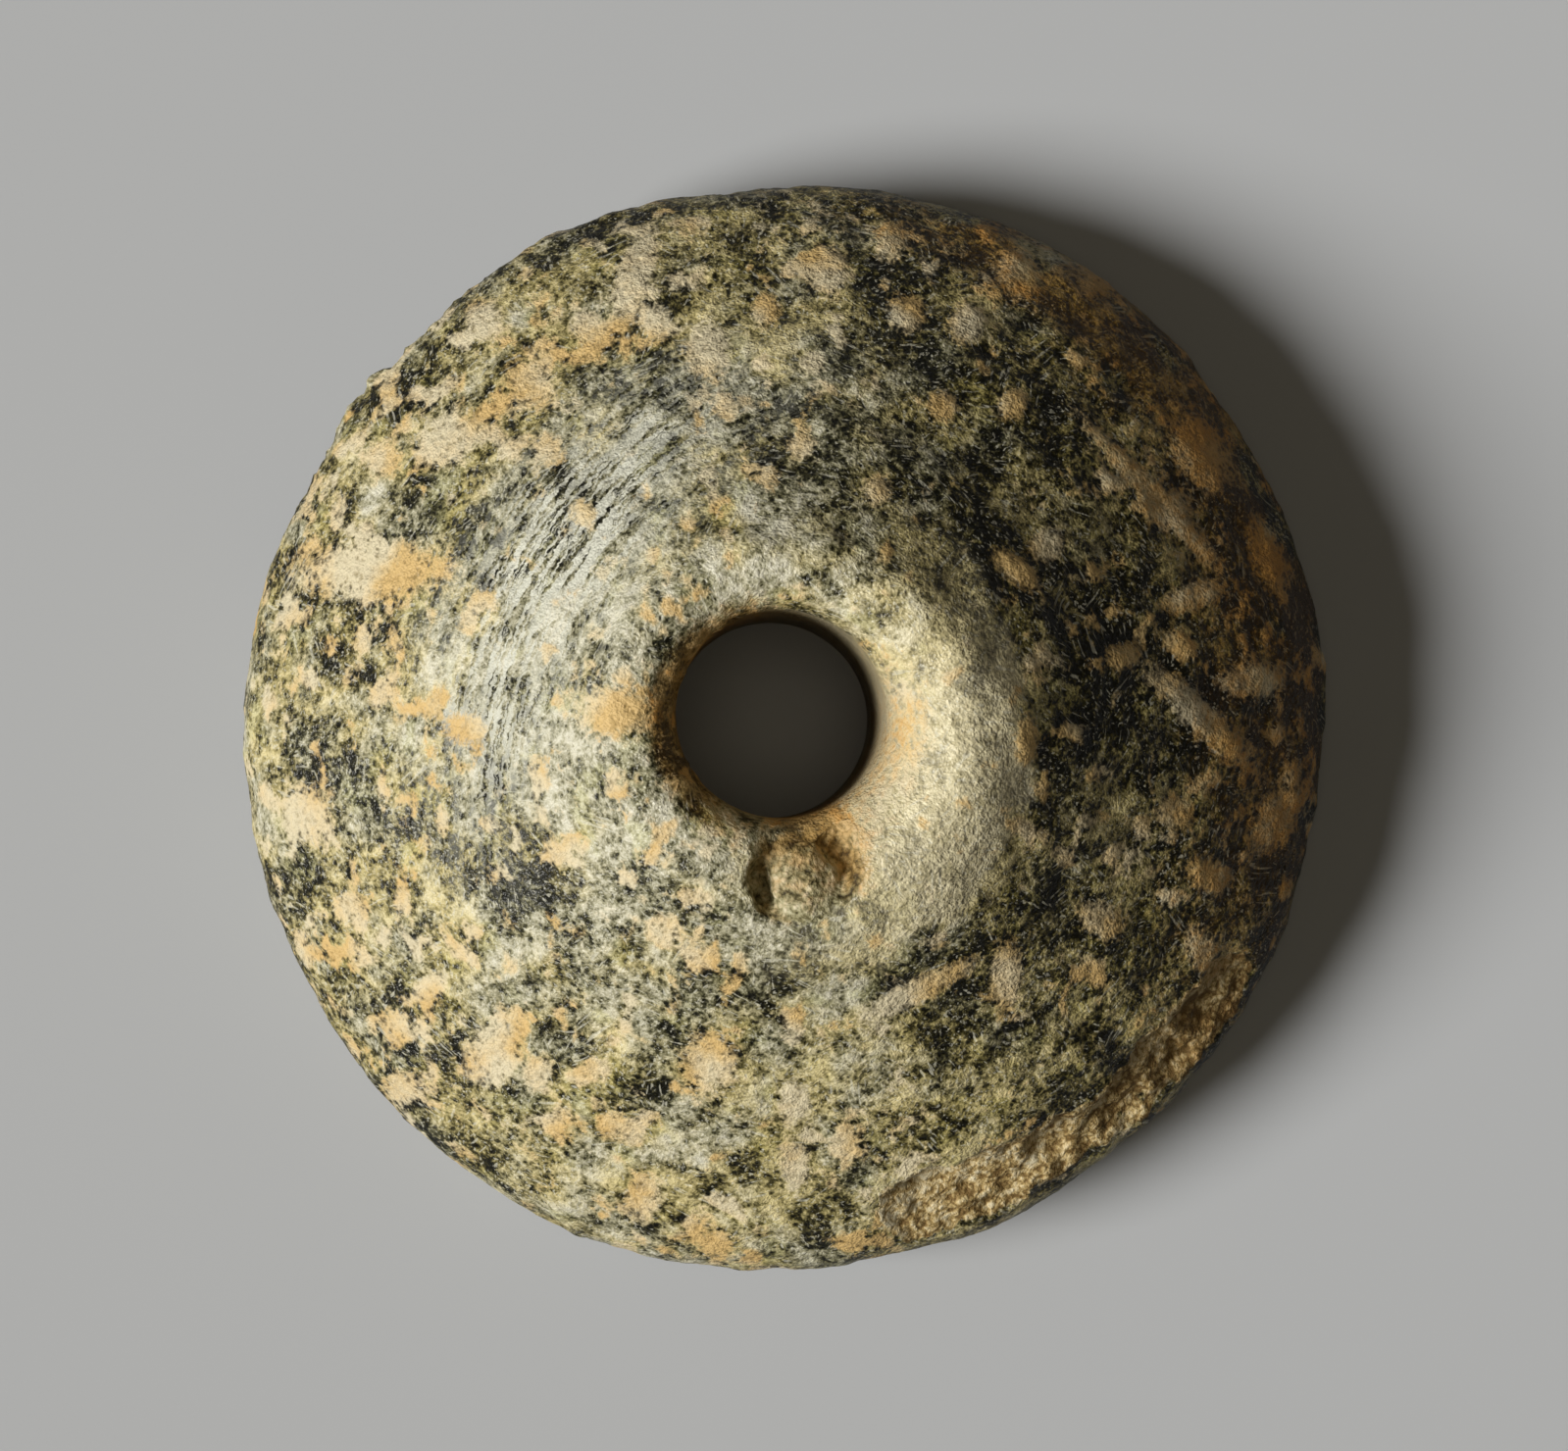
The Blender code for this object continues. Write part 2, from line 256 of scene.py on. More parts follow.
PATCHES_BELOW = (
    (79, 0.78, 0.8, 2.9, 0), (66, 0.59, 1.1, 1.0, 0), (25, 0.79, 1.2, 1.6, 0), (19, 0.40, 1.5, 0.8, 0),
    (3, 0.65, 1.4, 1.1, 0), (101, 0.41, 0.9, 2.4, 0), (139, 0.79, 1.3, 2.4, 0), (130, 0.61, 0.9, 1.6, 0),
    (143, 0.40, 0.9, 1.7, 0), (153, 0.52, 1.2, 1.0, 0), (173, 0.56, 1.8, 1.2, 0),
    (283, 0.54, 2.2, 1.0, 0), (259, 0.41, 0.8, 2.0, 0), (262, 0.59, 1.4, 1.5, 0),
    (230, 0.57, 1.4, 1.3, 0), (209, 0.78, 1.9, 1.2, 0), (194, 0.81, 1.1, 1.6, 0),
    (208, 0.35, 1.2, 1.0, 0), (199, 0.41, 1.2, 1.0, 0), (352, 0.87, 1.1, 1.1, 0),
)


def lumps(places, size, seed, octaves=1):
    """Seeded noise at each place, in lumps of this size, with a mean of 0 and a spread of 1."""
    start = Vector((seed * 17.3, seed * 5.1, seed * 9.7))
    points = [Vector(point) + start for point in places / size]
    if octaves == 1:
        values = np.array([noise.noise(point) for point in points])
    else:
        values = np.array([noise.fractal(point, 0.8, 2.0, octaves) for point in points])
    return (values - values.mean()) / values.std()


patch = np.zeros(len(places))


def lay_patch(side, spot_direction, r, width, stretch, lean):
    """Adds a grain to the patch mask, which is 0.5 at the grain's edge."""
    spot = math.radians(spot_direction)
    out_way = spot + math.radians(lean)
    off_x = places[:, 0] - r * RADIUS * math.cos(spot)
    off_y = places[:, 1] - r * RADIUS * math.sin(spot)
    along = (off_x * math.cos(out_way) + off_y * math.sin(out_way)) / stretch
    across = off_y * math.cos(out_way) - off_x * math.sin(out_way)
    near = np.hypot(along, across) / (0.5 * width * MM)
    np.maximum(patch, np.clip(1.2 - 0.7 * near, 0.0, 0.95) * side, out=patch)


for row in PATCHES_ABOVE:
    lay_patch(upper, *row)
for row in PATCHES_BELOW:
    lay_patch(underside, *row)

# Polishing strokes cross the shoulder, on arcs about a centre behind the bore.
STROKES_CENTRE_Y = 7.9 * MM
STROKES_RADIUS = 17.8 * MM
from_strokes = np.hypot(places[:, 0], places[:, 1] - STROKES_CENTRE_Y)
strokes_direction = np.degrees(np.arctan2(places[:, 1] - STROKES_CENTRE_Y, places[:, 0]))
scratched = upper * hump(from_strokes, STROKES_RADIUS, 2.1 * MM) * sector(strokes_direction, 267, 23)
scratched = np.clip(scratched * (1.25 + 0.35 * lumps(places, 1.6 * MM, 25, 2)), 0.0, 1.0)

# Round the axis the places are stretched, so that lumps made there run down the cone as streaks.
angle = np.radians(direction)
down_cone = np.stack([np.cos(angle) * 12 * MM, np.sin(angle) * 12 * MM, reach * RADIUS * 0.4], axis=1)
grain_field = 0.6 * lumps(down_cone, 1.2 * MM, 12, 3) + 0.8 * lumps(places, 1.05 * MM, 13, 3)
# How thinly the small grains lie: thickest in front, thinner halfway up the cone on the left and at the
# back right. There are none in the strokes.
sparseness = (
    1.58
    - upper * 0.68 * sector(direction, 300, 50)
    - upper * 0.60 * sector(direction, 240, 28)
    - upper * 0.32 * sector(direction, 125, 45) * smooth_step(0.50, 0.75, reach)
    - upper * 0.35 * sector(direction, 5, 35)
    + upper * 0.5 * sector(direction, 62, 22) * hump(reach, 0.6, 0.25)
    + upper * 0.5 * sector(direction, 186, 25) * hump(reach, 0.55, 0.2)
    + 1.2 * scratched
    + underside * 0.12
    - underside * 0.8 * sector(direction, 0, 40) * smooth_step(0.7, 0.95, reach)
)
np.maximum(patch, np.clip(0.5 + 0.40 * (grain_field - sparseness), 0.0, 0.8), out=patch)
worn_side = np.clip(1.8 * sector(direction, 96, 42), 0.0, 1.0)
np.maximum(patch, 0.55 * upper * worn_side * smooth_step(0.285, 0.235, reach), out=patch)

# How tan the cream grains are, from 0 to 1.
tint = 0.5 + 0.35 * lumps(places, 2.5 * MM, 14, 2) + 0.25 * upper * sector(direction, 120, 60)

# A lump left standing in the large break, at the edge, is paler than the rest.
lump_place = sector(direction, 262, 9) * hump(reach, 0.94, 0.10) + 0.07 * lumps(places, 1.2 * MM, 27, 2)
pale_lump = lost["facet"] * smooth_step(0.35, 0.60, lump_place)

# Where the matted ground between the grains is paler (above 0) or darker. The collar round the mouth is
# worn pale, most of all in the dish on the +Y side. The cone below that dish and the outer cone at the
# back left, the side turned from the key light, are painted darker as shade.
collar_edge = reach + 0.014 * lumps(places, 2.0 * MM, 5, 3)
collar = upper * smooth_step(0.47, 0.40, collar_edge)
worn = upper * worn_side * smooth_step(0.445, 0.410, collar_edge)
paleness = (
    0.046 * lumps(places, 0.9 * MM, 20, 3)
    + 0.030 * lumps(places, 2.2 * MM, 24)
    + 0.030 * lumps(places, 4.5 * MM, 21)
    + 0.068 * collar
    + 0.06 * worn
    - 0.015 * scratched
    + 0.016 * underside * lumps(places, 1.6 * MM, 18, 2)
    # painted shade: the cone below the dish, on the side turned from the key light, darker
    - 0.048 * upper * worn_side * hump(reach, 0.51, 0.08)
    - 0.052 * upper * sector(direction, 115, 52) * smooth_step(0.44, 0.52, reach)
    - 0.03 * upper * sector(direction, 186, 25) * hump(reach, 0.58, 0.2)
    - 0.03 * upper * sector(direction, 28, 40) * hump(reach, 0.43, 0.07)
    # painted shade: the outer cone at the back left, turned from the key light, darker
    - 0.080 * upper * sector(direction, 118, 48) * smooth_step(0.62, 0.78, reach)
    + 0.015 * upper * sector(direction, 40, 35) * smooth_step(0.60, 0.75, reach)
    - 0.03 * upper * sector(direction, 320, 35) * smooth_step(0.44, 0.36, reach)
    - 0.05 * upper * sector(direction, 145, 30) * hump(reach, 0.38, 0.08)
    + 0.02 * upper * sector(direction, 30, 60)
    + 0.03 * underside * sector(direction, 10, 50) * smooth_step(0.6, 0.9, reach)
    + 0.01 * underside
    + 0.20 * pale_lump
    + 0.05 * scar_lump
    # painted shade: darker in the groove round the scar's lump and between the lump and the bore
    - 0.07 * scar_groove_and_shade
    - 0.05 * scar_painted_shadow
    - 0.07 * upper * sector(direction, 310, 38) * smooth_step(0.25, 0.20, reach)
    + 0.06 * upper * sector(direction, 262, 30) * smooth_step(0.25, 0.20, reach)
    - 0.07 * upper * sector(direction, 122, 28) * hump(reach, 0.25, 0.06)
)

# Where the ground is yellowish, and where it is greenish.
warmth = (
    0.30
    + 0.30 * lumps(places, 2.4 * MM, 22, 3)
    + 0.7 * patch
    - 0.5 * scratched
    + 0.35 * upper * smooth_step(0.5, 0.8, reach)
    - 0.40 * underside
    - 0.3 * collar * sector(direction, 310, 60)
    + 0.4 * worn
    + 0.9 * upper * sector(direction, 120, 60)
)
green = 0.35 + 0.4 * lumps(places, 1.6 * MM, 23, 3) - 0.3 * underside
worn = np.maximum(worn, 0.8 * lost["pale_chip"])

# Brown earth holds in the mouth of the bore, on the lump in its chip and along the edge at the back left.
# Brown painted shadow lies round that lump and between it and the bore, in the same mask.
mouth = upper * sector(direction, 288, 78) * smooth_step(0.26, 0.20, reach)
earth = smooth_step(2.0 * MM, 6.0 * MM, height + 1.5 * MM * lumps(places, 2.4 * MM, 26, 2))
earth_and_shade = 0.66 * earth * smooth_step(0.55, 0.90, reach) * sector(direction, 125, 55)
earth_and_shade = np.maximum(earth_and_shade, 1.1 * earth * smooth_step(0.78, 0.95, reach) * sector(direction, 155, 42))
earth_and_shade = np.maximum(earth_and_shade, mouth)
# painted shadow: brown between the mouth's edge and the scar's lump
earth_and_shade = np.maximum(earth_and_shade, 0.6 * upper * sector(direction, 36, 24) * smooth_step(0.275, 0.245, reach))
earth_and_shade = np.maximum(earth_and_shade, 0.35 * upper * sector(direction, 105, 90) * smooth_step(0.24, 0.20, reach))
# painted shadow in the scar: the valley, the groove round the lump and the stone between it and the bore
earth_and_shade = np.maximum(earth_and_shade, 0.75 * scar_valley_shadow)
earth_and_shade = np.maximum(earth_and_shade, 0.9 * scar_painted_shadow)
earth_and_shade = np.maximum(earth_and_shade, 0.95 * scar_groove_and_shade)
earth_and_shade = np.maximum(earth_and_shade, 0.45 * scar_lump)
earth_and_shade = np.maximum(earth_and_shade, lost["brown_chip"])


# ---- Relief ----
# Grinding left the stone slightly wavy, hard grains stand out where the rest has worn, pits are left
# where others fell out, and broken stone is rough. Each line adds heights out of the surface.

rim = hump(reach, 1.0, 0.06) * smooth_step(1.0 * MM, 2.5 * MM, height)
streaks = upper * smooth_step(0.4, 0.6, reach)
raised = 0.115 * upper * sector(direction, 145, 85) - 0.015
grain_shape = patch[:, None]
for _ in range(4):
    grain_shape = 0.5 * (grain_shape + neighbour_mean(grain_shape, edges))
relief = 0.030 * MM * lumps(places, 4.0 * MM, 1)
relief += 0.022 * MM * lumps(places, 1.4 * MM, 2)
relief += 0.016 * MM * lumps(places, 0.6 * MM, 3, 2)
relief += 0.022 * MM * streaks * lumps(down_cone, 1.0 * MM, 4, 2)
relief += 0.025 * MM * rim * lumps(places, 3.2 * MM, 5, 2)
relief += 0.035 * MM * upper * sector(direction, 125, 55) * lumps(places, 2.0 * MM, 17, 2)
relief -= 0.12 * MM * rim * sector(direction, 226, 22) * smooth_step(0.3, 1.3, lumps(places, 2.0 * MM, 10))
relief -= 0.080 * MM * smooth_step(1.7, 2.6, lumps(places, 0.9 * MM, 6))
relief += raised * MM * smooth_step(0.3, 0.8, grain_shape[:, 0])
relief += 0.060 * MM * mouth * lumps(places, 0.7 * MM, 15, 2)
relief *= worked
relief += 0.065 * MM * lumps(places, 0.8 * MM, 7, 2) * broken
relief += 0.080 * MM * lumps(places, 1.1 * MM, 16, 2) * lost["hollow"]
relief += 0.060 * MM * lumps(places, 2.2 * MM, 8) * broken
relief += 0.040 * MM * lumps(places, 1.0 * MM, 9, 2) * strip
relief += 0.035 * MM * lumps(places, 0.5 * MM, 28) * broken
relief += 0.26 * MM * pale_lump
relief += 0.26 * MM * scar_lump
relief -= 0.24 * MM * scar_groove_and_shade
relief *= 1.0 - in_bore
places += normals * relief[:, None]
places[:, 2] = np.maximum(places[:, 2], 0.0)
move_vertices(stone.data, places)

# How far each place lies below the surface round it: the ground is a little darker there, and paler where
# it stands above.
around = places.copy()
for _ in range(14):
    around += 0.5 * (neighbour_mean(around, edges) - around)
sunk = np.sum((around - places) * vertex_normals(stone.data), axis=1) / (0.06 * MM)


# ---- Flat layout ----
# The stone is given a flat layout for its colours: the top and the underside lie in it as two
# discs, a drop in height counting as some width, and the wall of the bore as a strip beside them.

LAYOUT_SIDE = 88.0 * MM  # the length on the stone that one side of the layout stands for
DROP_AS_WIDTH = 0.6
TOP_CENTRE = 0.322
UNDERSIDE_CENTRE = 0.740
BORE_CORNER = (0.005, 0.795)
MEAN_BORE = 3.65 * MM


def lay_flat(mesh, places, normals):
    """Gives the mesh its flat layout, one place for each corner of each face."""
    vertex = np.empty(len(mesh.loops), np.int32)
    mesh.loops.foreach_get("vertex_index", vertex)
    first = np.empty(len(mesh.polygons), np.int32)
    mesh.polygons.foreach_get("loop_start", first)
    corners = np.diff(np.append(first, len(vertex)))

    def for_face(values):
        """The mean of a value over each face's corners, given back to each corner."""
        return np.repeat(np.add.reduceat(values[vertex], first) / corners, corners)

    turn = np.arctan2(places[:, 1], places[:, 0])
    r = np.hypot(places[:, 0], places[:, 1])
    inward = -(normals[:, 0] * np.cos(turn) + normals[:, 1] * np.sin(turn))
    wall = for_face(((inward > 0.75) & (r < 0.25 * RADIUS)).astype(float)) > 0.5
    up = for_face(normals[:, 2]) > 0.0

    drop = np.where(up, HEIGHT - places[vertex, 2], places[vertex, 2])
    spread = (r[vertex] + DROP_AS_WIDTH * drop) / LAYOUT_SIDE
    middle = np.where(up, TOP_CENTRE, UNDERSIDE_CENTRE)
    turned = turn[vertex] % (2.0 * math.pi)
    behind = wall & (turned < 0.5 * math.pi) & (for_face(turn % (2.0 * math.pi)) > 0.5 * math.pi)
    along = (turned + 2.0 * math.pi * behind) * MEAN_BORE / LAYOUT_SIDE
    flat = np.empty((len(vertex), 2))
    flat[:, 0] = np.where(wall, BORE_CORNER[0] + along, middle + spread * np.cos(turned))
    flat[:, 1] = np.where(
        wall, BORE_CORNER[1] + places[vertex, 2] / LAYOUT_SIDE, middle + spread * np.sin(turned)
    )
    mesh.uv_layers.new(name="OFBake").data.foreach_set("uv", flat.astype(np.float32).ravel())


calm_normals = vertex_normals(stone.data)
for _ in range(4):
    calm_normals = neighbour_mean(calm_normals, edges)
lay_flat(stone.data, places, calm_normals)


def keep_mask(mesh, name, values):
    attribute = mesh.attributes.new(name, "FLOAT", "POINT")
    attribute.data.foreach_set("value", values.astype(np.float32))


for name, values in (
    ("broken", broken), ("patch", patch), ("tint", tint), ("paleness", paleness), ("green", green),
    ("scratched", scratched), ("earth_and_shade", earth_and_shade), ("bore", in_bore), ("sunk", sunk),
    ("hollow", lost["hollow"]), ("strip", strip), ("warmth", warmth), ("worn", worn),
):
    keep_mask(stone.data, name, values)


# ---- The stone's material ----
# Dense green-black stone matted with short pale needles, ground to a low gloss, then worn and dirtied.
# Each run of colours below goes from dark to pale; a tint darkens or warms what it lies on.

GROUND_COLOURS = (
    (0.365, (0.006, 0.006, 0.002)),
    (0.430, (0.048, 0.045, 0.020)),
    (0.480, (0.165, 0.156, 0.086)),
    (0.530, (0.330, 0.312, 0.200)),
    (0.595, (0.530, 0.502, 0.355)),
    (0.690, (0.780, 0.750, 0.600)),
)
WORN_COLOURS = ((0.35, (0.58, 0.52, 0.34)), (0.62, (0.93, 0.86, 0.64)))
CREAM_COLOURS = (
    (0.30, (0.76, 0.67, 0.46)),
    (0.45, (0.79, 0.655, 0.41)),
    (0.58, (0.78, 0.60, 0.32)),
    (0.74, (0.74, 0.51, 0.21)),
)
SPECKLE_SHADES = ((0.32, (0.66, 0.62, 0.52)), (0.50, (1.04, 1.04, 1.04)))
CRUMB_COLOURS = (
    (0.34, (0.048, 0.037, 0.013)),
    (0.43, (0.185, 0.160, 0.070)),
    (0.51, (0.350, 0.317, 0.172)),
    (0.60, (0.555, 0.510, 0.320)),
    (0.72, (0.830, 0.780, 0.590)),
)
STRIP_COLOURS = (
    (0.36, (0.230, 0.140, 0.045)),
    (0.46, (0.520, 0.370, 0.150)),
    (0.54, (0.770, 0.610, 0.330)),
    (0.68, (0.920, 0.820, 0.570)),
)
HAIR_COLOUR = (0.80, 0.78, 0.64, 1.0)
STROKE_COLOUR = (0.74, 0.74, 0.63, 1.0)
BORE_COLOUR = (0.36, 0.31, 0.20, 1.0)
WARM_TINT = (1.06, 0.95, 0.62, 1.0)
GREEN_TINT = (0.84, 0.86, 0.56, 1.0)
HOLLOW_TINT = (0.62, 0.54, 0.34, 1.0)
EARTH_AND_SHADE_TINT = (0.92, 0.62, 0.28, 1.0)
EARTH_AND_SHADE_COLOUR = (0.26, 0.14, 0.04, 1.0)
NEARLY_FULL_TURN = 6.28
RELIEF_DEPTH = 0.13 * MM


def put(tree, kind, inputs=(), **properties):
    """Adds a node. Inputs maps an input's name or number to its value or to the socket that feeds it."""
    node = tree.nodes.new(kind)
    for name, value in properties.items():
        setattr(node, name, value)
    for name, value in dict(inputs).items():
        if isinstance(value, bpy.types.NodeSocket):
            tree.links.new(value, node.inputs[name])
        else:
            node.inputs[name].default_value = value
    return node


def calc(tree, operation, *values):
    return put(tree, "ShaderNodeMath", dict(enumerate(values)), operation=operation).outputs[0]


def vector_calc(tree, operation, inputs, output=0):
    return put(tree, "ShaderNodeVectorMath", inputs, operation=operation).outputs[output]


def weighted_sum(tree, start, *parts):
    """The sum of start and of each socket times its weight."""
    total = start
    for socket, weight in parts:
        total = calc(tree, "MULTIPLY_ADD", socket, weight, total)
    return total


def grains(tree, vector, scale, detail, roughness):
    inputs = {"Vector": vector, "Scale": scale, "Detail": detail, "Roughness": roughness}
    return put(tree, "ShaderNodeTexNoise", inputs).outputs[0]


def ease(tree, value, low, high):
    inputs = {"Value": value, "From Min": low, "From Max": high}
    return put(tree, "ShaderNodeMapRange", inputs, interpolation_type="SMOOTHSTEP").outputs[0]


def mix_colour(tree, share, first, second, blend_type="MIX"):
    inputs = {0: share, 6: first, 7: second}
    return put(tree, "ShaderNodeMix", inputs, data_type="RGBA", blend_type=blend_type).outputs[2]


def colour_run(tree, value, colours):
    """The colour that stands at this value in a run of colours."""
    ramp = put(tree, "ShaderNodeValToRGB", {"Fac": value})
    elements = ramp.color_ramp.elements
    for element, (position, colour) in zip(elements, (colours[0], colours[-1])):
        element.position = position
        element.color = (*colour, 1.0)
    for position, colour in colours[1:-1]:
        elements.new(position).color = (*colour, 1.0)
    return ramp.outputs[0]


def mask(tree, name):
    return put(tree, "ShaderNodeAttribute", attribute_name=name).outputs["Fac"]


def new_group(name, inputs, output):
    """A node group whose inputs are numbers, but for Vector, and whose one output is a number."""
    tree = bpy.data.node_groups.new(name, "ShaderNodeTree")
    for socket in inputs:
        kind = "NodeSocketVector" if socket == "Vector" else "NodeSocketFloat"
        tree.interface.new_socket(socket, in_out="INPUT", socket_type=kind)
    tree.interface.new_socket(output, in_out="OUTPUT", socket_type="NodeSocketFloat")
    return tree, tree.nodes.new("NodeGroupInput").outputs, tree.nodes.new("NodeGroupOutput").inputs[0]


def group_value(tree, group, **inputs):
    return put(tree, "ShaderNodeGroup", inputs, node_tree=group).outputs[0]


def matted_needles():
    """Short needles of pale mineral matted together, each clump lying its own way round a dark core."""
    inputs = ("Vector", "Clump", "Fineness", "Slimness", "Core")
    tree, given, made = new_group("matted_needles", inputs, "Needles")
    clumps = put(tree, "ShaderNodeTexVoronoi", {"Vector": given["Vector"], "Scale": given["Clump"]}).outputs
    turns = vector_calc(tree, "SCALE", {0: clumps["Color"], "Scale": NEARLY_FULL_TURN})
    turn_inputs = {"Vector": given["Vector"], "Rotation": turns}
    turned = put(tree, "ShaderNodeVectorRotate", turn_inputs, rotation_type="EULER_XYZ").outputs[0]
    slim = put(tree, "ShaderNodeCombineXYZ", {"X": 1.0, "Y": given["Slimness"], "Z": 1.0}).outputs[0]
    drawn = vector_calc(tree, "MULTIPLY", {0: turned, 1: slim})
    needles = grains(tree, drawn, given["Fineness"], 1.0, 0.6)
    from_core = calc(tree, "SUBTRACT", clumps["Distance"], 0.5)
    tree.links.new(weighted_sum(tree, needles, (from_core, given["Core"])), made)
    return tree


def ragged_edge():
    """A mask whose edge, where it is 0.5, is made ragged by the stone's grain."""
    inputs = ("Mask", "Grain", "Raggedness", "Softness")
    tree, given, made = new_group("ragged_edge", inputs, "Edge")
    shift = calc(tree, "SUBTRACT", given["Grain"], 0.5)
    moved = weighted_sum(tree, given["Mask"], (shift, given["Raggedness"]))
    low = calc(tree, "SUBTRACT", 0.5, given["Softness"])
    high = calc(tree, "ADD", 0.5, given["Softness"])
    tree.links.new(ease(tree, moved, low, high), made)
    return tree


def matted_ground(tree, mm, needles_group, needles, fine, grain):
    """Pale needles and white hairs over green-black, worn pale in places."""
    value = weighted_sum(
        tree, 0.0,
        (needles, 0.32), (fine, 0.15), (grain, 0.53),
        (mask(tree, "paleness"), 1.0), (mask(tree, "sunk"), -0.022),
    )
    colour = colour_run(tree, value, GROUND_COLOURS)
    colour = mix_colour(tree, ease(tree, mask(tree, "warmth"), 0.1, 1.1), colour, WARM_TINT, "MULTIPLY")
    green_share = calc(tree, "MULTIPLY", ease(tree, mask(tree, "green"), 0.5, 1.1), 0.5)
    colour = mix_colour(tree, green_share, colour, GREEN_TINT, "MULTIPLY")
    worn_share = calc(tree, "MULTIPLY", mask(tree, "worn"), 0.62)
    colour = mix_colour(tree, worn_share, colour, colour_run(tree, grain, WORN_COLOURS))
    hair = group_value(tree, needles_group, Vector=mm, Clump=0.8, Fineness=8.0, Slimness=0.07, Core=0.0)
    hair_share = calc(tree, "MULTIPLY", ease(tree, hair, 0.59, 0.68), 0.50)
    return mix_colour(tree, hair_share, colour, HAIR_COLOUR)


def polishing_strokes(tree, mm, grain):
    """Where the strokes on the shoulder lie, long and thin on arcs about their centre."""
    from_centre = vector_calc(tree, "ADD", {0: mm, 1: (0.0, -STROKES_CENTRE_Y / MM, 0.0)})
    from_centre = vector_calc(tree, "MULTIPLY", {0: from_centre, 1: (1.0, 1.0, 0.0)})
    distance = vector_calc(tree, "LENGTH", {0: from_centre}, "Value")
    distance = weighted_sum(tree, distance, (grain, 0.5))
    way = vector_calc(tree, "NORMALIZE", {0: from_centre})
    way = vector_calc(tree, "SCALE", {0: way, "Scale": 1.1})
    way_parts = put(tree, "ShaderNodeSeparateXYZ", {0: way}).outputs
    on_arc = put(tree, "ShaderNodeCombineXYZ", {0: way_parts[0], 1: way_parts[1], 2: distance}).outputs[0]
    strokes = ease(tree, grains(tree, on_arc, 7.5, 1.0, 0.7), 0.43, 0.55)
    return calc(tree, "MULTIPLY", strokes, mask(tree, "scratched"))


def cream_mineral(tree, speckle, grain):
    """Cream to tan, with a darker, speckled border."""
    shade = weighted_sum(tree, 0.0, (mask(tree, "tint"), 0.5), (grain, 0.5))
    cream = colour_run(tree, shade, CREAM_COLOURS)
    return mix_colour(tree, 1.0, cream, colour_run(tree, speckle, SPECKLE_SHADES), "MULTIPLY")


def crumb_relief(tree, mm, grain):
    """How high the crumbs of the broken stone stand, each a little higher or lower than the next."""
    crumbs = put(tree, "ShaderNodeTexVoronoi", {"Vector": mm, "Scale": 4.4}).outputs
    each_crumb = put(tree, "ShaderNodeSeparateColor", {"Color": crumbs["Color"]}).outputs[0]
    return weighted_sum(tree, -0.075, (grain, 1.0), (crumbs["Distance"], -0.28), (each_crumb, 0.15))


def broken_stone(tree, crumbs, fine):
    """Pale crumbs with dark pits between them, browner in the strip along the edge."""
    shade = weighted_sum(tree, 0.16, (crumbs, 0.8), (fine, 0.09), (mask(tree, "paleness"), 0.7))
    in_breaks = colour_run(tree, shade, CRUMB_COLOURS)
    in_strip = colour_run(tree, shade, STRIP_COLOURS)
    return mix_colour(tree, mask(tree, "strip"), in_breaks, in_strip)


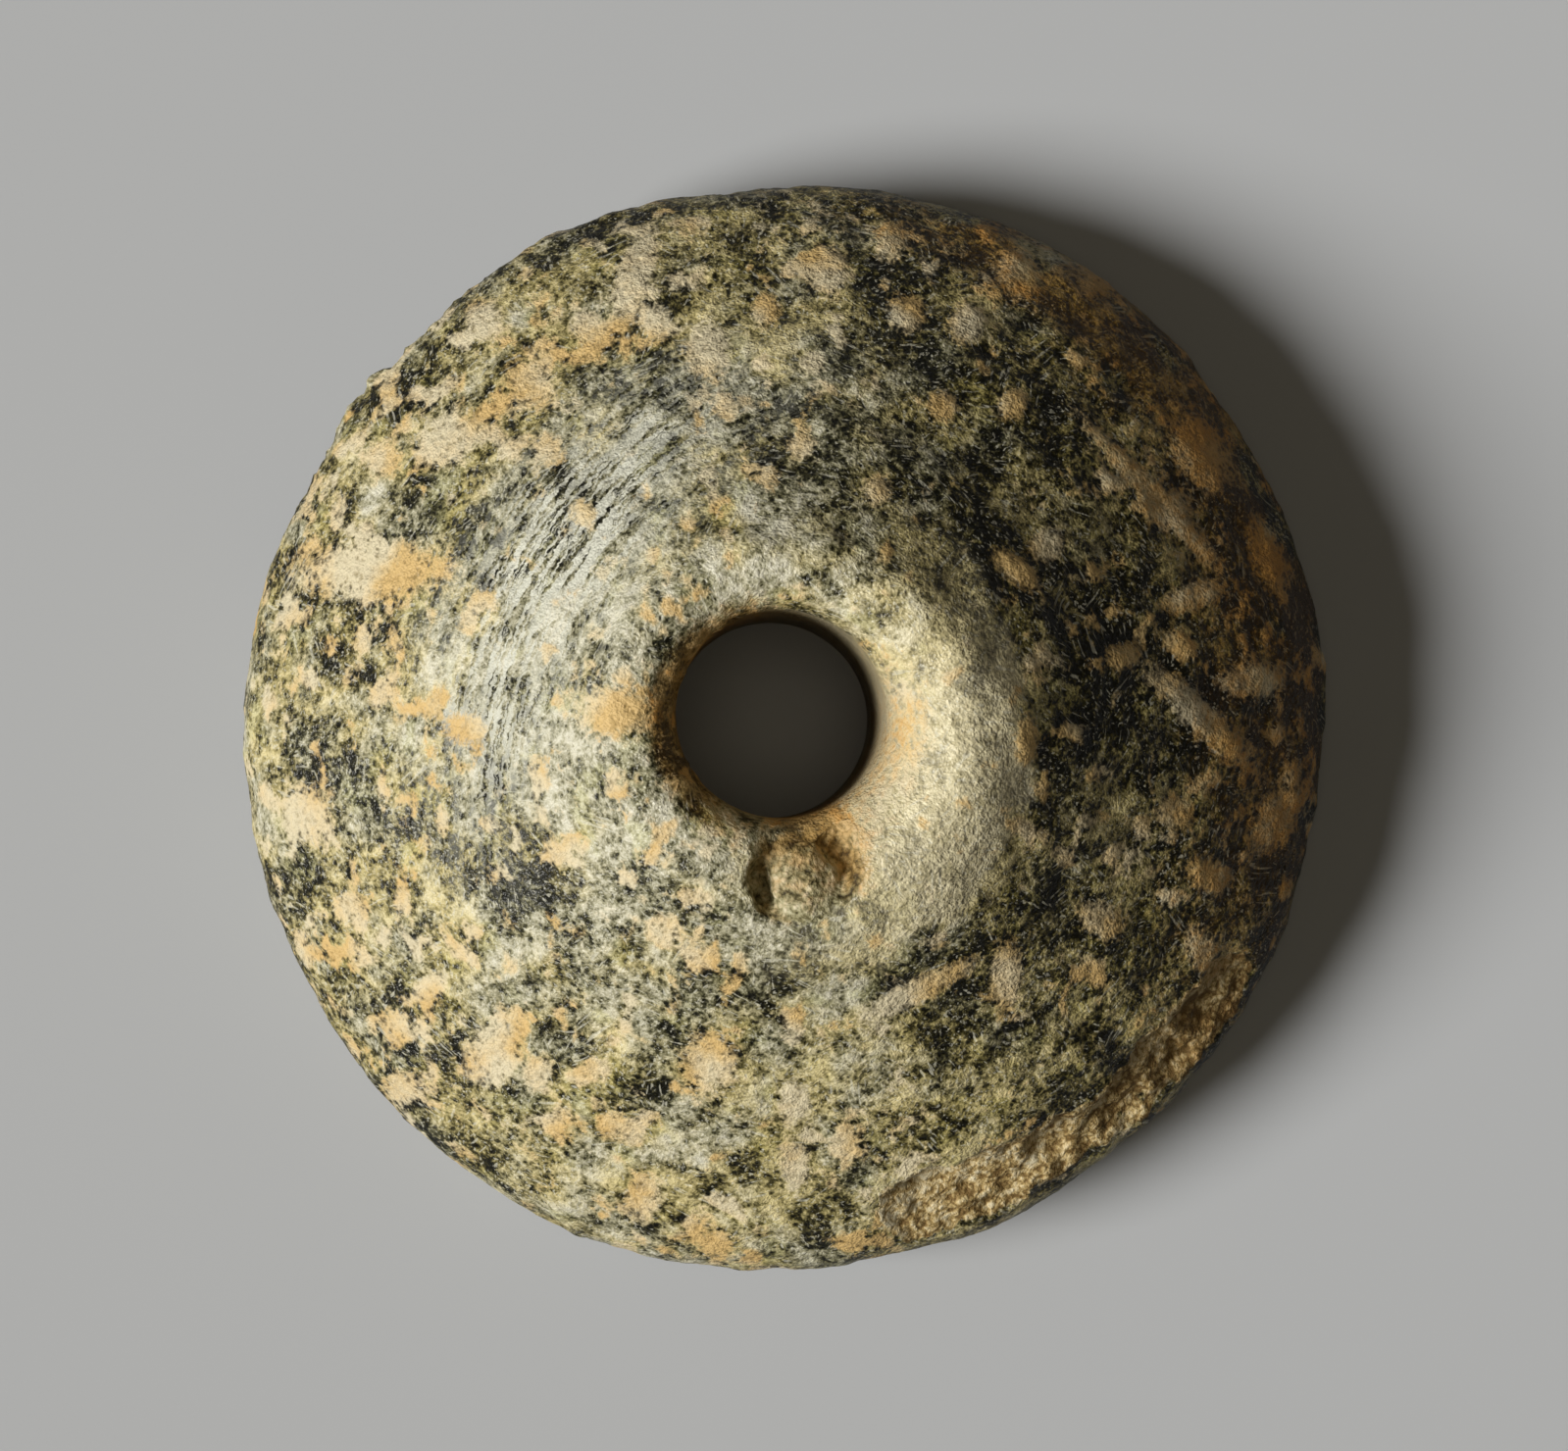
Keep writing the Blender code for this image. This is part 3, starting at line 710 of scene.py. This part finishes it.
def stone_material():
    material = bpy.data.materials.new("green_stone")
    material.use_nodes = True
    tree = material.node_tree
    shader = tree.nodes["Principled BSDF"]
    needles_group = matted_needles()
    edge_group = ragged_edge()

    metres = put(tree, "ShaderNodeTexCoord").outputs["Object"]
    mm = vector_calc(tree, "SCALE", {0: metres, "Scale": 1.0 / MM})
    needles = group_value(tree, needles_group, Vector=mm, Clump=3.4, Fineness=5.6, Slimness=0.75, Core=0.45)
    fine = group_value(tree, needles_group, Vector=mm, Clump=2.3, Fineness=11.0, Slimness=0.45, Core=0.10)
    grain = grains(tree, mm, 2.8, 3.0, 0.65)
    speckle = weighted_sum(tree, 0.0, (grain, 0.6), (needles, 0.4))
    crumbs = crumb_relief(tree, mm, grain)
    cream = group_value(
        tree, edge_group, Mask=mask(tree, "patch"), Grain=speckle, Raggedness=1.5, Softness=0.26
    )
    broken_share = group_value(
        tree, edge_group, Mask=mask(tree, "broken"), Grain=grain, Raggedness=0.8, Softness=0.20
    )
    earth = group_value(
        tree, edge_group, Mask=mask(tree, "earth_and_shade"), Grain=grain, Raggedness=1.0, Softness=0.30
    )

    # The colour, from the ground up to the brown earth and the painted shadow that lie on it.
    colour = matted_ground(tree, mm, needles_group, needles, fine, grain)
    colour = mix_colour(tree, polishing_strokes(tree, mm, grain), colour, STROKE_COLOUR)
    cream_share = calc(tree, "MULTIPLY", cream, 0.95)
    colour = mix_colour(tree, cream_share, colour, cream_mineral(tree, speckle, grain))
    colour = mix_colour(tree, broken_share, colour, broken_stone(tree, crumbs, fine))
    hollow_share = calc(tree, "MULTIPLY", mask(tree, "hollow"), 0.7)
    colour = mix_colour(tree, hollow_share, colour, HOLLOW_TINT, "MULTIPLY")
    bore_share = calc(tree, "MULTIPLY", mask(tree, "bore"), 0.8)
    colour = mix_colour(tree, bore_share, colour, BORE_COLOUR)
    # The earth mask also carries painted shadow in the scar at the mouth of the bore, darkened and browned
    # here like the earth.
    earth_share = calc(tree, "MULTIPLY", earth, 0.8)
    colour = mix_colour(tree, earth_share, colour, EARTH_AND_SHADE_TINT, "MULTIPLY")
    colour = mix_colour(tree, calc(tree, "MULTIPLY", earth, 0.24), colour, EARTH_AND_SHADE_COLOUR)
    tree.links.new(colour, shader.inputs["Base Color"])

    # The ground is a little glossy, the cream grains less so, and broken stone is dull.
    roughness = weighted_sum(tree, 0.37, (broken_share, 0.30), (cream, 0.20))
    tree.links.new(roughness, shader.inputs["Roughness"])
    shader.inputs["Specular IOR Level"].default_value = 0.38

    # The finest relief: needles on the old surface, and crumbs where it is broken.
    needle_height = weighted_sum(tree, needles, (fine, 0.5))
    needle_share = weighted_sum(tree, 0.65, (broken_share, -0.55))
    crumb_share = calc(tree, "MULTIPLY", broken_share, 1.3)
    fine_relief = calc(tree, "MULTIPLY", needle_height, needle_share)
    fine_relief = weighted_sum(tree, fine_relief, (crumbs, crumb_share))
    bump = put(tree, "ShaderNodeBump", {"Height": fine_relief, "Strength": 1.0, "Distance": RELIEF_DEPTH})
    tree.links.new(bump.outputs[0], shader.inputs["Normal"])
    return material


stone.data.materials.clear()
stone.data.materials.append(stone_material())
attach(stone, "root")
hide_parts("whorl")


# ---- The table ----
# A plain pale board under the whorl, painted matt. It is wide enough to run past the view on every
# side, and its paint is a little cool, so that it looks grey under the warm light. It throws little of
# that light back on the stone.

TABLE_SIZE = 3.0
CLEARANCE = 0.02 * MM
TABLE_PAINT = (0.507, 0.524, 0.553, 1.0)
TABLE_THROWN_BACK = (0.200, 0.207, 0.218, 1.0)
bpy.ops.mesh.primitive_plane_add(size=TABLE_SIZE, location=(0.0, 0.0, -CLEARANCE))
table = bpy.context.object
table.name = "table"
table_paint = bpy.data.materials.new("pale_table")
table_paint.use_nodes = True
table_shader = table_paint.node_tree.nodes["Principled BSDF"]
table_rays = table_paint.node_tree.nodes.new("ShaderNodeLightPath")
board = mix_colour(
    table_paint.node_tree, table_rays.outputs["Is Camera Ray"], TABLE_THROWN_BACK, TABLE_PAINT
)
table_paint.node_tree.links.new(board, table_shader.inputs["Base Color"])
table_shader.inputs["Roughness"].default_value = 0.9
table.data.materials.append(table_paint)


# ---- Light ----
# A broad soft key stands to one side, halfway up; a faint one hangs overhead and reaches down the bore.
# The room behind is the table's own pale grey, and lights the stone only a little.

WHITE_SHEET = math.pi  # the strength that makes a white sheet facing the light exactly white
LAMP_DISTANCE = 0.6


def soft_lamp(name, direction_degrees, height_degrees, strength, spread_degrees, colour):
    data = bpy.data.lights.new(name, "SUN")
    data.energy = strength * WHITE_SHEET
    data.angle = math.radians(spread_degrees)
    data.color = colour
    lamp = bpy.data.objects.new(name, data)
    bpy.context.scene.collection.objects.link(lamp)
    turn = math.radians(direction_degrees)
    up = math.radians(height_degrees)
    toward = Vector((math.cos(up) * math.cos(turn), math.cos(up) * math.sin(turn), math.sin(up)))
    lamp.location = toward * LAMP_DISTANCE
    lamp.rotation_euler = toward.to_track_quat("Z", "Y").to_euler()


soft_lamp("key", 313.0, 41.0, strength=1.10, spread_degrees=27.0, colour=(1.0, 0.98, 0.93))
soft_lamp("overhead", 0.0, 90.0, strength=0.05, spread_degrees=20.0, colour=(1.0, 0.88, 0.66))

world = bpy.data.worlds.new("studio")
world.use_nodes = True
room = world.node_tree
light_on_stone = room.nodes["Background"]
light_on_stone.inputs["Color"].default_value = (1.0, 0.86, 0.64, 1.0)
light_on_stone.inputs["Strength"].default_value = 0.03
seen = room.nodes.new("ShaderNodeBackground")
seen.inputs["Color"].default_value = (0.43, 0.43, 0.42, 1.0)
by_sight = room.nodes.new("ShaderNodeMixShader")
rays = room.nodes.new("ShaderNodeLightPath")
room.links.new(rays.outputs["Is Camera Ray"], by_sight.inputs[0])
room.links.new(light_on_stone.outputs[0], by_sight.inputs[1])
room.links.new(seen.outputs[0], by_sight.inputs[2])
room.links.new(by_sight.outputs[0], room.nodes["World Output"].inputs["Surface"])
bpy.context.scene.world = world
bpy.context.scene.view_settings.view_transform = "Standard"


# ---- Camera ----
# It looks straight down on the whorl, which fills three quarters of the picture's height. The top of
# the picture points to PICTURE_TOP, a direction round the whorl in degrees.

CAMERA_HEIGHT = 0.215
WIDEST_HEIGHT = 0.2 * RADIUS  # where the whorl is widest
PICTURE_TOP = 208.5
WHORL_SHARE = 0.75
FRAME_SHAPE = 1480 / 1599  # height over width
SENSOR_WIDTH = 36.0

camera_data = bpy.data.cameras.new("camera")
camera = bpy.data.objects.new("camera", camera_data)
bpy.context.scene.collection.objects.link(camera)
camera.location = (0.0, 0.0, CAMERA_HEIGHT)
camera.rotation_euler = (0.0, 0.0, math.radians(PICTURE_TOP - 90.0))
camera_data.sensor_width = SENSOR_WIDTH
view_height = 2.0 * RADIUS / WHORL_SHARE
view_width = view_height / FRAME_SHAPE
camera_data.lens = SENSOR_WIDTH * (CAMERA_HEIGHT - WIDEST_HEIGHT) / view_width
camera_data.clip_start = MM
bpy.context.scene.camera = camera
